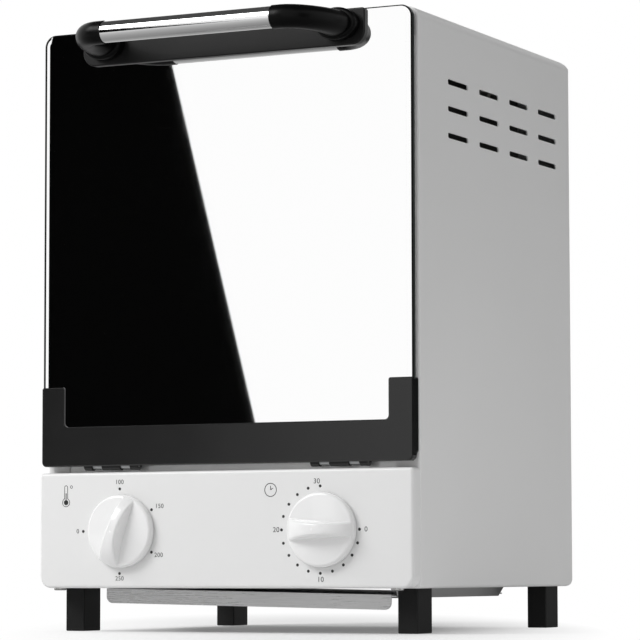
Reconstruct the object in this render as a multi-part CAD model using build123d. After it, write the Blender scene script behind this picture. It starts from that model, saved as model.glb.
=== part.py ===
from build123d import *
import math
import os

# Upright bench oven for dry heat sterilizing: a folded steel case on four feet, a control
# panel with two dials, a glass door hinged along its bottom edge, a chamber with a sliding
# rack, and a loose tray under the case.
#
# All sizes are in millimetres. While modelling, X runs to the right, Y runs from the control
# panel's front face (Y = 0) to the back, and Z runs up from the floor (Z = 0). At the end the
# whole model moves along Y, so that the origin is under the middle of its bounding box.

# ---------------------------------------------------------------- case
case_width = 240.0
case_height = 325.1
case_depth = 224.3
sheet = 0.8
bend_radius = 7.0
rear_radius = 9.0
lower_bend_radius = 2.0
side_bend_radius = 2.0
front_bend_radius = 1.5
front_rim = 14.5
rear_rim = 14.0
bottom_rim = 22.0
seam = 0.1
slip = 0.3
past = 1.0
plate = 1.0

# ---------------------------------------------------------------- feet
foot_height = 25.1
foot_width = 12.4
foot_length = 19.2
foot_side_inset = 6.3
foot_front_inset = 19.3
foot_rear_inset = 9.5
foot_edge = 0.8
foot_recess_radius = 4.4
foot_recess_depth = 14.0

# ---------------------------------------------------------------- fasteners
screw_radius = 1.5
screw_head_radius = 2.8
screw_head_height = 1.6
screw_play = 0.1
thread_reach = 2.0
screw_head_edge = 0.7
cross_length = 3.4
cross_width = 0.9
cross_depth = 1.0

# ---------------------------------------------------------------- vent slots
slot_length = 28.0
slot_height = 3.2
slot_corner = 1.3
slot_pitch = 44.4
row_pitch = 15.4
slot_columns = 4
slot_rows = 3
first_slot_from_panel = 63.5
first_row_from_top = 37.6

# ---------------------------------------------------------------- control panel
panel_height = 66.7
panel_depth = 9.2
panel_lower_corner = 7.0
panel_upper_corner = 2.0
panel_edge_radius = 1.8
dial_side_inset = 55.5
dial_height = 32.7
panel_screw_from_side = 11.6
panel_screw_from_front = 4.2
panel_screw_head_radius = 3.6
panel_screw_head_height = 1.3

# ---------------------------------------------------------------- knobs
knob_radius = 21.0
knob_gap = 0.4
skirt_height = 4.5
skirt_edge_radius = 2.2
crown_rise = 1.4
grip_height = 13.6
grip_tail_half_width = 7.0
grip_tip_half_width = 4.5
grip_draft = 13.0
grip_edge_radius = 1.4
knob_recess_radius = 18.0
knob_recess_depth = 2.4
knob_boss_radius = 5.5
shaft_radius = 3.0
shaft_flat = 2.2
shaft_in_knob = 9.0
shaft_in_body = 8.0
shaft_play = 0.05
shaft_hole_play = 0.6
temperature_rest = 20.0
timer_rest = 90.0

# ---------------------------------------------------------------- thermostat and timer
thermostat_width = 36.0
thermostat_height = 32.0
thermostat_depth = 24.0
timer_width = 44.0
timer_height = 38.0
timer_depth = 29.0
control_screw_spread = 28.0
bell_radius = 19.0
bell_depth = 11.0
bell_wall = 1.0
bell_stem_radius = 2.5
bell_standoff = 2.0

# ---------------------------------------------------------------- door
door_gap = 3.7
frame_front = 0.9
frame_side_inset = 0.4
frame_lip = 1.1
frame_band_height = 23.0
frame_upright_height = 46.2
frame_upright_width = 15.1
frame_side_wall = 2.2
frame_sill = 4.0
frame_corner = 3.0
frame_upper_corner = 1.2
frame_inner_corner = 2.5
frame_edge = 0.6
glass_thickness = 4.0
glass_side_inset = 0.5
glass_top_drop = 0.2
glass_corner = 7.0
glass_bevel = 0.8
glass_bottom_height = 11.0
glass_fit = 0.1
strip_width = 10.0
strip_thickness = 2.3
strip_side_inset = 1.0
strip_top_drop = 16.8
strip_in_frame = 14.0
bumper_length = 8.0
bumper_height = 3.0
bumper_proud = 0.7
clamp_screw_radius = 1.2
clamp_screw_head_radius = 2.6
clamp_screw_cone = 1.4
clamp_screw_length = 5.0
clamp_screw_side_inset = 20.0
clamp_screw_inner_inset = 80.0

# ---------------------------------------------------------------- handle
handle_side_inset = 44.0
handle_standoff = 39.5
handle_drop = 9.2
tube_radius = 6.2
tube_wall = 1.0
elbow_reach = 21.7
tube_in_elbow = 4.0
elbow_end_radius = 6.7
elbow_root_half_width = 9.6
elbow_root_half_height = 7.6
elbow_swell = 3.0
elbow_sections = 4
elbow_base_half_width = 12.6
elbow_base_half_height = 9.2
elbow_base_thickness = 7.0
elbow_base_edge = 2.0
tube_play = 0.05
handle_plate_side_inset = 28.5
handle_plate_height = 20.8
handle_plate_thickness = 2.5
handle_plate_lower_corner = 8.0
handle_plate_upper_corner = 2.0
handle_plate_edge = 0.8
handle_screw_radius = 2.0
handle_screw_head_radius = 5.0
handle_screw_head_height = 2.2
handle_screw_in_elbow = 15.0

# ---------------------------------------------------------------- hinges
hinge_side_inset = 46.5
knuckle_radius = 3.0
knuckle_end_length = 5.0
knuckle_middle_length = 12.0
lug_width = 6.15
lug_gap = 0.3
lug_radius = 2.2
hinge_pin_radius = 1.25
hinge_pin_play = 0.05
pin_seat_play = 0.02
lug_clearance = 0.3
knuckle_above_panel = 1.2
hinge_plate_thickness = 1.2
hinge_plate_drop = 11.0
hinge_screw_drop = 6.0

# ---------------------------------------------------------------- chamber
liner_sheet = 0.6
chamber_side_gap = 22.0
chamber_top_gap = 16.7
chamber_rear_gap = 32.4
chamber_above_panel = 14.7
chamber_corner = 6.0
liner_flange = 6.0
frame_below_panel_top = 12.0
shield_below_liner = 3.6

# ---------------------------------------------------------------- heaters
rod_radius = 3.2
rod_reach = 10.0
terminal_radius = 1.6
terminal_length = 5.0
rod_from_floor = 16.0
rod_from_roof = 16.0
rod_from_front = 60.0
rod_from_back = 50.0
bush_radius = 4.9
bush_head_radius = 7.5
bush_head_length = 5.0
bush_inside = 2.0
bush_play = 0.1

# ---------------------------------------------------------------- rack, its rails and the tray on it
rail_from_front = 10.0
rail_from_back = 10.0
rail_ledge = 9.0
rail_levels = 3
rail_level_pitch = 45.0
rail_first_level = 54.0
rail_margin = 12.0
rack_level = 1
rack_side_gap = 1.2
rack_loop_radius = 2.0
rack_wire_radius = 1.25
rack_corner = 10.0
rack_wires = 14
rack_wire_sink = 0.4
rack_from_front = 7.5
rack_from_back = 12.5
pan_side_gap = 23.0
pan_length = 130.0
pan_height = 18.0
pan_corner = 10.0
pan_wall = 0.8
pan_rim = 4.0
pan_slots = 5
pan_slot_length = 60.0
pan_slot_width = 4.0
pan_slot_pitch = 22.0
pan_seat = 0.1

# ---------------------------------------------------------------- tray under the case
tray_side_inset = 27.7
tray_depth = 157.0
tray_sheet = 0.8
tray_front_inset = 30.0
tray_lip_height = 8.5
tray_lip_corner = 4.0
tray_tilt = 1.05
tray_side_play = 1.0
channel_height = 6.4
channel_ledge = 8.0
channel_sheet = 0.8
channel_rear_slant = 9.5
channel_front_inset = 5.0

# ---------------------------------------------------------------- mains entry, bulb and leads
gland_from_right = 40.0
gland_above_bottom = 30.0
gland_bore_radius = 3.8
gland_neck_radius = 6.5
gland_head_radius = 8.5
gland_head_length = 4.0
gland_neck_length = 5.0
block_width = 40.0
block_length = 20.0
block_height = 16.0
block_from_back = 45.0
bulb_radius = 3.0
bulb_length = 70.0
bulb_from_side = 9.0
bulb_from_roof = 34.0
bulb_from_front = 50.0
clip_width = 6.0
clip_wall = 1.0
capillary_radius = 0.9
capillary_bend = 8.0
capillary_hole_play = 0.4
lead_radius = 1.2
lead_turn = 1.6
lead_bend = 4.0
lead_wall_gap = 2.8
lead_spacing = 12.0
lead_drop = 14.0
timer_lead_offset = 18.0
thermostat_lead_offset = 10.0
block_lead_offset = 12.0
control_lead_run = 60.0

# ---------------------------------------------------------------- derived planes
half_width = case_width / 2
wrap_front = panel_depth + seam
case_back = wrap_front + case_depth
case_bottom = foot_height
case_top = case_bottom + case_height
panel_top = case_bottom + panel_height
dial_z = case_bottom + dial_height
inner_half_width = half_width - sheet

door_bottom = panel_top + door_gap
glass_front = frame_front + frame_lip
glass_back = glass_front + glass_thickness
door_back = glass_back + strip_thickness
glass_top = case_top - glass_top_drop
glass_bottom = door_bottom + glass_bottom_height
band_top = door_bottom + frame_band_height
upright_top = door_bottom + frame_upright_height
sill_top = door_bottom + frame_sill
hinge_y = glass_front + lug_clearance + lug_radius
hinge_z = panel_top + knuckle_above_panel + knuckle_radius

plate_front = wrap_front + sheet + seam
plate_back = plate_front + plate
chamber_front = plate_back
chamber_back = case_back - chamber_rear_gap
chamber_floor = panel_top + chamber_above_panel
chamber_roof = case_top - chamber_top_gap
chamber_height = chamber_roof - chamber_floor
chamber_half = half_width - chamber_side_gap
chamber_width = 2 * chamber_half
liner_half = chamber_half + liner_sheet

handle_z = case_top - handle_drop
plate_face = glass_front - handle_plate_thickness
handle_x = half_width - handle_side_inset
tube_half = handle_x - elbow_reach
tube_y = -handle_standoff

front_reach = handle_standoff + elbow_end_radius
back_reach = case_back - sheet + gland_head_length
origin_y = (back_reach - front_reach) / 2


# ---------------------------------------------------------------- helpers
def block(x0, x1, y0, y1, z0, z1):
    """A box between two opposite corners."""
    centre = Pos((x0 + x1) / 2, (y0 + y1) / 2, (z0 + z1) / 2)
    return centre * Box(x1 - x0, y1 - y0, z1 - z0)


def slab_y(sketch, y0, y1):
    """A sketch drawn in X and Z, solid from y0 back to y1."""
    return Pos(0, y1, 0) * extrude(Plane.XZ * sketch, amount=y1 - y0)


def slab_x(sketch, x0, x1):
    """A sketch drawn in Y and Z, solid from x0 to x1."""
    return Pos(x0, 0, 0) * extrude(Plane.YZ * sketch, amount=x1 - x0)


def slab_z(sketch, z0, z1):
    """A sketch drawn in X and Y, solid from z0 to z1."""
    return Pos(0, 0, z0) * extrude(sketch, amount=z1 - z0)


def rod_x(x0, x1, y, z, radius):
    """A round bar along X."""
    return slab_x(Pos(y, z) * Circle(radius), x0, x1)


def rod_y(x, y0, y1, z, radius):
    """A round bar along Y."""
    return slab_y(Pos(x, z) * Circle(radius), y0, y1)


def rod_z(x, y, z0, z1, radius):
    """A round bar along Z."""
    return slab_z(Pos(x, y) * Circle(radius), z0, z1)


def rounded_frame(half, z0, z1, lower, upper):
    """A rectangle in X and Z with its own radius for the lower and the upper corners."""
    outline = Pos(0, (z0 + z1) / 2) * Rectangle(2 * half, z1 - z0)
    corners = outline.vertices().sort_by(Axis.Y)
    if lower > 0:
        outline = fillet(corners[:2], lower)
    corners = outline.vertices().sort_by(Axis.Y)
    if upper > 0:
        outline = fillet(corners[-2:], upper)
    return outline


def both_sides(solid):
    """A right-hand piece and its mirror image."""
    return solid, mirror(solid, about=Plane.YZ)


def slot_grid(first, pitch, z_top):
    """The vent pattern, drawn with its columns along the first axis."""
    marks = Sketch()
    for row in range(slot_rows):
        for column in range(slot_columns):
            place = Pos(first + column * pitch, z_top - row * row_pitch)
            marks += place * RectangleRounded(slot_length, slot_height, slot_corner)
    return marks


def cross():
    """The driver's cross, sunk to its depth in a face at Z = 0."""
    bar = Box(cross_length, cross_width, 2 * cross_depth)
    return bar + Rot(0, 0, 90) * bar


def pan_head(radius, head_radius, head_height, length):
    """A pan head screw, its head below Z = 0 and its shank up along +Z."""
    head = Pos(0, 0, -head_height / 2) * Cylinder(head_radius, head_height)
    rim = head.edges().filter_by(GeomType.CIRCLE).sort_by(Axis.Z)[0]
    head = fillet(rim, screw_head_edge) - Pos(0, 0, -head_height) * cross()
    shank = Pos(0, 0, length / 2) * Cylinder(radius, length)
    return head + shank


def lead(points, radius, bend):
    """A round wire along straight runs with equal bends."""
    path = FilletPolyline(*points, radius=bend)
    section = Plane(origin=path @ 0, z_dir=path % 0) * Circle(radius)
    return sweep(section, path=path)


# ---------------------------------------------------------------- case
def case_skin(inset):
    """The case as one solid block, drawn in by the given inset, rounded in all three views."""
    x = half_width - inset
    y0 = wrap_front + inset
    y1 = case_back - inset
    z0 = case_bottom + inset
    z1 = case_top - inset
    lower = lower_bend_radius - inset
    from_front = slab_y(rounded_frame(x, z0, z1, lower, bend_radius - inset), y0, y1)

    side_view = Pos((y0 + y1) / 2, (z0 + z1) / 2) * Rectangle(y1 - y0, z1 - z0)
    side_view = fillet(side_view.vertices().sort_by(Axis.X)[-2:], rear_radius - inset)
    front_top = side_view.vertices().group_by(Axis.X)[0].sort_by(Axis.Y)[-1]
    side_view = fillet(front_top, front_bend_radius - inset)

    plan_view = Pos(0, (y0 + y1) / 2) * Rectangle(2 * x, y1 - y0)
    plan_view = fillet(plan_view.vertices().group_by(Axis.Y)[0], front_bend_radius - inset)
    plan_view = fillet(plan_view.vertices().group_by(Axis.Y)[-1], side_bend_radius - inset)
    return from_front & slab_x(side_view, -x, x) & slab_z(plan_view, z0, z1)


def make_outer_wrap():
    shell = case_skin(0) - case_skin(sheet)
    mouth_half = half_width - front_rim
    mouth = rounded_frame(mouth_half, case_bottom - front_rim, case_top - front_rim, 0, bend_radius)
    shell -= slab_y(mouth, wrap_front - sheet, wrap_front + 2 * sheet)
    shell -= block(
        -tab_half - slip, tab_half + slip, wrap_front - sheet, wrap_front + 2 * sheet,
        case_bottom - sheet, case_bottom + sheet + plate + slip,
    )
    window = rounded_frame(
        half_width - rear_rim, case_bottom + rear_rim, case_top - rear_rim, bend_radius, bend_radius
    )
    shell -= slab_y(window, case_back - 2 * sheet, case_back + sheet)
    shell -= block(
        -half_width + bottom_rim, half_width - bottom_rim,
        wrap_front - sheet, case_back - bottom_rim,
        case_bottom - sheet, case_bottom + 2 * sheet,
    )
    grid = slot_grid(first_slot_from_panel, slot_pitch, case_top - first_row_from_top)
    shell -= slab_x(grid, inner_half_width - sheet, half_width + sheet)
    shell -= slab_x(grid, -half_width - sheet, -inner_half_width + sheet)
    for x, y in foot_centres():
        shell -= rod_z(x, y, case_bottom - sheet, case_bottom + 2 * sheet, screw_radius + screw_play)
    for x, z in rear_screw_places():
        hole = screw_radius + screw_play
        shell -= rod_y(x, case_back - 2 * sheet, case_back + sheet, z, hole)
    return shell


def rear_screw_places():
    """Screws around the rear rim: three down each side, one in the middle of top and bottom."""
    x = half_width - rear_rim / 2
    low = case_bottom + rear_rim
    high = case_top - rear_rim
    middle = (low + high) / 2
    sides = [(side * x, z) for side in (-1, 1) for z in (low, middle, high)]
    ends = [(0, case_bottom + rear_rim / 2), (0, case_top - rear_rim / 2)]
    return sides + ends


def make_rear_panel():
    back = case_back - sheet
    edge = rear_radius - sheet + slip
    outline = rounded_frame(
        half_width - sheet - edge, case_bottom + sheet + edge, case_top - sheet - edge, 1, 1
    )
    panel = slab_y(outline, back - plate, back)
    pattern_half = slot_pitch * (slot_columns - 1) / 2
    grid = slot_grid(-pattern_half, slot_pitch, case_top - first_row_from_top)
    panel -= slab_y(grid, back - 2 * plate, back + plate)
    for x, z in rear_screw_places():
        panel -= rod_y(x, back - 2 * plate, back + plate, z, screw_radius + screw_play)
    return panel - rod_y(gland_x, back - 2 * plate, back + plate, gland_z, gland_neck_radius + screw_play)


def make_rear_screws():
    screw = pan_head(screw_radius, screw_head_radius, screw_head_height, sheet + plate + thread_reach)
    facing_back = Rot(90, 0, 0) * screw
    return [Pos(x, case_back, z) * facing_back for x, z in rear_screw_places()]


def make_bottom_plate():
    floor = case_bottom + sheet
    inner = inner_half_width - lower_bend_radius
    deep_front = wrap_front + sheet + slip
    deep = block(-inner, inner, deep_front, case_back - rear_radius, floor, floor + plate)
    tab_front = panel_edge_radius + slip
    base = deep + block(-tab_half, tab_half, tab_front, wrap_front + 2 * sheet, floor, floor + plate)
    for x, y in foot_centres():
        base -= rod_z(x, y, floor - plate, floor + 2 * plate, screw_radius + screw_play)
    for x in panel_screw_places():
        hole = screw_radius + screw_play
        base -= rod_z(x, panel_screw_from_front, floor - plate, floor + 2 * plate, hole)
    return base


def make_heat_shield():
    top = chamber_floor - liner_sheet - shield_below_liner
    edge = inner_half_width - slip
    shield = block(-edge, edge, shield_front, case_back - rear_radius, top - sheet, top)
    hole = capillary_radius + capillary_hole_play
    shield -= rod_z(-side_gap_x, bulb_turn_y, top - 2 * sheet, top + sheet, hole)
    for y in (feed_y, feed_y + lead_spacing):
        shield -= rod_z(-lead_x, y, top - 2 * sheet, top + sheet, lead_radius + capillary_hole_play)
    return shield


# ---------------------------------------------------------------- feet
def foot_centres():
    x = half_width - foot_side_inset - foot_width / 2
    front = foot_front_inset + foot_length / 2
    rear = case_back - foot_rear_inset - foot_length / 2
    return [(-x, front), (x, front), (-x, rear), (x, rear)]


def make_foot(x, y):
    foot = Pos(x, y, foot_height / 2) * Box(foot_width, foot_length, foot_height)
    foot = fillet(foot.edges().filter_by(Axis.Z), foot_edge)
    foot = chamfer(foot.faces().sort_by(Axis.Z)[0].edges(), foot_edge / 2)
    foot -= rod_z(x, y, -past, foot_recess_depth, foot_recess_radius)
    return foot - rod_z(x, y, foot_recess_depth - past, foot_height + past, screw_radius + screw_play)


def make_foot_screws():
    length = foot_height - foot_recess_depth + sheet + plate + thread_reach
    screw = pan_head(screw_radius, screw_head_radius, screw_head_height, length)
    return [Pos(x, y, foot_recess_depth) * screw for x, y in foot_centres()]


# ---------------------------------------------------------------- control panel
panel_sheet_back = sheet
tab_half = half_width - panel_lower_corner - slip
dial_x = half_width - dial_side_inset
dial_xs = {"temperature": -dial_x, "timer": dial_x}


def panel_screw_places():
    x = half_width - panel_screw_from_side
    return [-x, x]


def panel_block(inset):
    outline = rounded_frame(
        half_width - inset, case_bottom + inset, panel_top - inset,
        panel_lower_corner - inset, panel_upper_corner - inset,
    )
    solid = slab_y(outline, inset, panel_depth)
    front = solid.faces().sort_by(Axis.Y)[0].edges()
    return fillet(front, panel_edge_radius - inset)


def make_control_panel():
    panel = panel_block(0) - panel_block(sheet)
    for x in dial_xs.values():
        panel -= rod_y(x, -sheet, 2 * sheet, dial_z, shaft_radius + shaft_hole_play)
        for side in (-1, 1):
            screw_x = x + side * control_screw_spread / 2
            panel -= rod_y(screw_x, -sheet, 2 * sheet, dial_z, screw_radius + screw_play)
    for x in panel_screw_places():
        hole = screw_radius + screw_play
        panel -= rod_z(x, panel_screw_from_front, case_bottom - sheet, case_bottom + 2 * sheet, hole)
    return panel


def make_panel_screws():
    screw = pan_head(
        screw_radius, panel_screw_head_radius, panel_screw_head_height, sheet + plate + thread_reach
    )
    return [Pos(x, panel_screw_from_front, case_bottom) * screw for x in panel_screw_places()]


def make_control_screws():
    screw = pan_head(screw_radius, screw_head_radius, screw_head_height, sheet + 2 * thread_reach)
    facing_front = Rot(-90, 0, 0) * screw
    places = [(x + side * control_screw_spread / 2) for x in dial_xs.values() for side in (-1, 1)]
    return [Pos(x, 0, dial_z) * facing_front for x in places]


# ---------------------------------------------------------------- knobs and what they turn
def make_knob(x, clock_angle):
    """A skirted knob with a grip bar that points at the given clock angle, from 12 o'clock."""
    skirt = Pos(0, 0, skirt_height / 2) * Cylinder(knob_radius, skirt_height)
    skirt = fillet(skirt.edges().sort_by(Axis.Z)[-1], skirt_edge_radius)
    crown_half = knob_radius - skirt_edge_radius
    crown_radius = (crown_half**2 + crown_rise**2) / (2 * crown_rise)
    crown = Pos(0, 0, skirt_height + crown_rise - crown_radius) * Sphere(crown_radius)
    above_skirt = Pos(0, 0, skirt_height + crown_rise / 2) * Cylinder(knob_radius, crown_rise)
    body = skirt + (crown & above_skirt)

    dome_half = knob_radius - skirt_edge_radius / 2
    dome_rise = grip_height - skirt_height
    dome_radius = (dome_half**2 + dome_rise**2) / (2 * dome_rise)
    dome = Pos(0, 0, grip_height - dome_radius) * Sphere(dome_radius)
    reach = knob_radius
    outline = Polygon(
        (-grip_tail_half_width, -reach), (grip_tail_half_width, -reach),
        (grip_tip_half_width, reach), (-grip_tip_half_width, reach), align=None,
    )
    lift = skirt_height / 2
    bar = Pos(0, 0, lift) * extrude(outline, amount=grip_height, taper=grip_draft)
    bar = bar & dome
    bar = bar & (Pos(0, 0, grip_height / 2 + lift) * Cylinder(dome_half, grip_height))
    crest = [edge for edge in bar.edges() if edge.length > knob_radius and edge.center().Z > skirt_height + 2]
    bar = fillet(crest, grip_edge_radius)
    body += bar

    recess = Pos(0, 0, knob_recess_depth / 2) * Cylinder(knob_recess_radius, knob_recess_depth)
    boss = Pos(0, 0, knob_recess_depth / 2) * Cylinder(knob_boss_radius, knob_recess_depth)
    body -= recess - boss
    depth = shaft_in_knob + shaft_play
    body -= Pos(0, 0, depth / 2) * d_bar(shaft_radius + shaft_play, shaft_flat + shaft_play, depth)
    turned = Rot(0, 0, -clock_angle) * body
    return Pos(x, -knob_gap, dial_z) * (Rot(90, 0, 0) * turned)


def d_bar(radius, flat, length):
    """A round bar along Z, centred, with a flat on its +Y side."""
    return Cylinder(radius, length) - Pos(0, flat + radius, 0) * Box(4 * radius, 2 * radius, 2 * length)


def make_shaft(x, clock_angle):
    """A control's spindle: a D end in the knob and a round end in the control's body."""
    gripped = Pos(0, 0, shaft_in_knob / 2) * d_bar(shaft_radius, shaft_flat, shaft_in_knob)
    tail = knob_gap + sheet + shaft_in_body
    plain = Pos(0, 0, -tail / 2) * Cylinder(shaft_radius, tail)
    turned = Rot(0, 0, -clock_angle) * (gripped + plain)
    return Pos(x, -knob_gap, dial_z) * (Rot(90, 0, 0) * turned)


def make_control_body(x, width, depth, height):
    front = panel_sheet_back
    body = block(
        x - width / 2, x + width / 2, front, front + depth, dial_z - height / 2, dial_z + height / 2
    )
    body = fillet(body.edges().filter_by(Axis.Y), 2)
    body -= rod_y(x, front - past, front + shaft_in_body + slip, dial_z, shaft_radius + shaft_play)
    for side in (-1, 1):
        screw_x = x + side * control_screw_spread / 2
        screw_end = front + 2 * thread_reach + slip
        body -= rod_y(screw_x, front - past, screw_end, dial_z, screw_radius + screw_play)
    return body


def make_timer_bell():
    x = dial_xs["timer"]
    start = panel_sheet_back + timer_depth
    rim = start + bell_standoff
    cup = rod_y(x, rim, rim + bell_depth, dial_z, bell_radius)
    hollow = rod_y(x, rim - past, rim + bell_depth - bell_wall, dial_z, bell_radius - bell_wall)
    return (cup - hollow) + rod_y(x, start, rim + bell_depth, dial_z, bell_stem_radius)


# ---------------------------------------------------------------- door
def door_frame_outline(half, low):
    """The U of the door's lower frame, in X and Z, above a given height."""
    outer = Pos(0, (low + upright_top) / 2) * Rectangle(2 * half, upright_top - low)
    outer = fillet(outer.vertices().sort_by(Axis.Y)[-2:], frame_upper_corner)
    gap = Pos(0, band_top + upright_top / 2) * Rectangle(2 * (half - frame_upright_width), upright_top)
    outline = outer - gap
    inner = half - frame_upright_width + seam
    inner_corners = ShapeList(v for v in outline.vertices() if inner - 2 * seam < abs(v.X) < inner)
    outline = fillet(inner_corners.sort_by(Axis.Y)[:2], frame_inner_corner)
    tips = [v for v in outline.vertices() if abs(v.Y - upright_top) < seam and abs(v.X) < inner]
    return fillet(tips, frame_upper_corner)


frame_half = half_width - frame_side_inset
glass_lower_half = frame_half - frame_side_wall - glass_fit
hinge_x = half_width - hinge_side_inset
hinge_xs = {"left": -hinge_x, "right": hinge_x}
lug_pitch = knuckle_middle_length / 2 + lug_gap + lug_width / 2
knuckle_reach = knuckle_middle_length / 2 + 2 * lug_gap + lug_width + knuckle_end_length


def make_door_glass():
    upper_low = upright_top - frame_lip
    half = half_width - glass_side_inset
    upper = slab_y(rounded_frame(half, upper_low, glass_top, 0, glass_corner), glass_front, glass_back)
    faces = upper.faces().filter_by(Axis.Y)
    rim = [edge for face in faces for edge in face.edges() if edge.center().Z > upper_low + 1]
    upper = chamfer(rim, glass_bevel)
    lower = block(-glass_lower_half, glass_lower_half, glass_front, glass_back, glass_bottom, upper_low)
    glass = upper + lower
    for x in (-handle_x, handle_x):
        glass -= rod_y(x, glass_front - past, glass_back + past, handle_z, handle_screw_radius + slip)
    return glass


def lug_slot(x, side):
    """The room across X that one hinge lug needs between two knuckles."""
    middle = x + side * lug_pitch
    half = lug_width / 2 + lug_gap
    return middle - half, middle + half


def clamp_screw_places():
    z = (sill_top + glass_bottom) / 2
    insets = (clamp_screw_side_inset, clamp_screw_inner_inset)
    return [(side * (half_width - inset), z) for inset in insets for side in (-1, 1)]


def make_door_bottom_frame():
    body = slab_y(door_frame_outline(frame_half, door_bottom), frame_front, glass_back)
    lower_corners = body.edges().filter_by(Axis.Y).sort_by(Axis.Z)[:2]
    body = fillet(lower_corners, frame_corner)
    front_rim = body.faces().sort_by(Axis.Y)[0].edges()
    body = chamfer(front_rim, frame_edge)
    pocket_half = glass_lower_half + glass_fit
    pocket_low = glass_bottom - glass_fit
    body -= block(-pocket_half, pocket_half, glass_front, glass_back + past, pocket_low, upright_top + past)
    step = upright_top - frame_lip - glass_fit
    side = frame_half + past
    body -= block(-side, side, glass_front, glass_back + past, step, upright_top + past)
    sill_half = frame_half - frame_corner
    body += block(-sill_half, sill_half, hinge_y, door_back, door_bottom, sill_top)
    for x in hinge_xs.values():
        body += rod_x(x - knuckle_reach, x + knuckle_reach, hinge_y, hinge_z, knuckle_radius)
    for x in hinge_xs.values():
        for side in (-1, 1):
            x0, x1 = lug_slot(x, side)
            front = hinge_y - lug_radius - lug_clearance
            top = hinge_z + lug_radius + lug_clearance
            low = hinge_z - knuckle_radius - past
            body -= block(x0, x1, front, door_back + past, low, top)
            body -= block(x0, x1, frame_front - past, front + past, low, door_bottom)
        reach = knuckle_reach + lug_gap
        body -= rod_x(x - reach, x + reach, hinge_y, hinge_z, hinge_pin_radius + hinge_pin_play)
    for x, z in clamp_screw_places():
        tip = door_back - clamp_screw_length - slip
        body -= rod_y(x, tip, glass_back + past, z, clamp_screw_radius + hinge_pin_play)
    return body


def make_door_clamp_plate():
    low = sill_top + seam
    body = slab_y(door_frame_outline(frame_half, low), glass_back, door_back)
    body = fillet(body.edges().filter_by(Axis.Y).sort_by(Axis.Z)[:2], frame_corner / 2)
    for x0, x1 in strip_ranges():
        x0 -= glass_fit
        x1 += glass_fit
        low = upright_top - strip_in_frame - glass_fit
        body -= block(x0, x1, glass_back - past, door_back + past, low, upright_top + past)
    for x, z in clamp_screw_places():
        body -= countersunk(x, z, screw_play / 2)
    return body


def countersunk(x, z, play):
    """A countersunk screw, its flat head level with the door's inner face."""
    head = Cone(clamp_screw_radius + play, clamp_screw_head_radius + play, clamp_screw_cone)
    head = Pos(x, door_back - clamp_screw_cone / 2, z) * (Rot(-90, 0, 0) * head)
    tip = door_back - clamp_screw_length
    return head + rod_y(x, tip, door_back - clamp_screw_cone, z, clamp_screw_radius + play)


def make_clamp_screws():
    driver = Rot(90, 0, 0) * cross()
    return [countersunk(x, z, 0) - Pos(x, door_back, z) * driver for x, z in clamp_screw_places()]


def strip_ranges():
    outer = half_width - strip_side_inset - glass_side_inset
    return [(-outer, -outer + strip_width), (outer - strip_width, outer)]


def make_side_strip(x0, x1):
    low = upright_top - strip_in_frame
    strip = block(x0, x1, glass_back, door_back, low, case_top - strip_top_drop)
    return fillet(strip.faces().sort_by(Axis.Y)[-1].edges().filter_by(Axis.Z), 0.6)


def make_bumper(x0, x1):
    middle = (x0 + x1) / 2
    low = case_top - strip_top_drop
    half = bumper_length / 2
    pad = block(middle - half, middle + half, glass_back, door_back + bumper_proud, low, low + bumper_height)
    return chamfer(pad.faces().sort_by(Axis.Y)[-1].edges(), 0.5)


# ---------------------------------------------------------------- handle
def make_handle_plate():
    half = half_width - handle_plate_side_inset
    low = glass_top - handle_plate_height
    outline = rounded_frame(half, low, glass_top, handle_plate_lower_corner, handle_plate_upper_corner)
    back = slab_y(outline, plate_face, glass_front)
    back = fillet(back.faces().sort_by(Axis.Y)[0].edges(), handle_plate_edge)
    for x in (-handle_x, handle_x):
        back -= rod_y(x, plate_face - past, glass_front + past, handle_z, handle_screw_radius + screw_play)
    return back


def make_elbow():
    """The right-hand elbow: it leaves the plate forwards and bends inwards to the tube."""
    tube_end = tube_half
    straight_end = tube_end + tube_in_elbow
    across = handle_x - straight_end
    root_y = plate_face - elbow_base_thickness
    out = handle_standoff + root_y
    sections = []
    for step in range(elbow_sections + 1):
        turn = math.radians(90 * (1 - step / elbow_sections))
        x = handle_x - across * (1 - math.cos(turn))
        y = root_y - out * math.sin(turn)
        along = Vector(across * math.sin(turn), out * math.cos(turn), 0).normalized()
        swell = (step / elbow_sections) ** elbow_swell
        half_wide = elbow_end_radius + (elbow_root_half_width - elbow_end_radius) * swell
        half_high = elbow_end_radius + (elbow_root_half_height - elbow_end_radius) * swell
        inward = Vector(0, 0, 1).cross(along)
        seat = Plane(origin=(x, y, handle_z), x_dir=inward, z_dir=along)
        sections.append(seat * Ellipse(half_wide, half_high))
    elbow = loft(sections)
    elbow += rod_x(tube_end, straight_end, tube_y, handle_z, elbow_end_radius)
    base_outline = Pos(handle_x, handle_z) * Ellipse(elbow_base_half_width, elbow_base_half_height)
    base = slab_y(base_outline, root_y, plate_face)
    elbow += fillet(base.faces().sort_by(Axis.Y)[0].edges(), elbow_base_edge)
    socket = rod_x(tube_end - past, straight_end, tube_y, handle_z, tube_radius + tube_play)
    screw = rod_y(
        handle_x, plate_face - handle_screw_in_elbow - slip, plate_face + past, handle_z,
        handle_screw_radius + tube_play,
    )
    return elbow - socket - screw


def make_handle_tube():
    reach = tube_half + tube_in_elbow
    tube = rod_x(-reach, reach, tube_y, handle_z, tube_radius)
    return tube - rod_x(-reach - past, reach + past, tube_y, handle_z, tube_radius - tube_wall)


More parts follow.
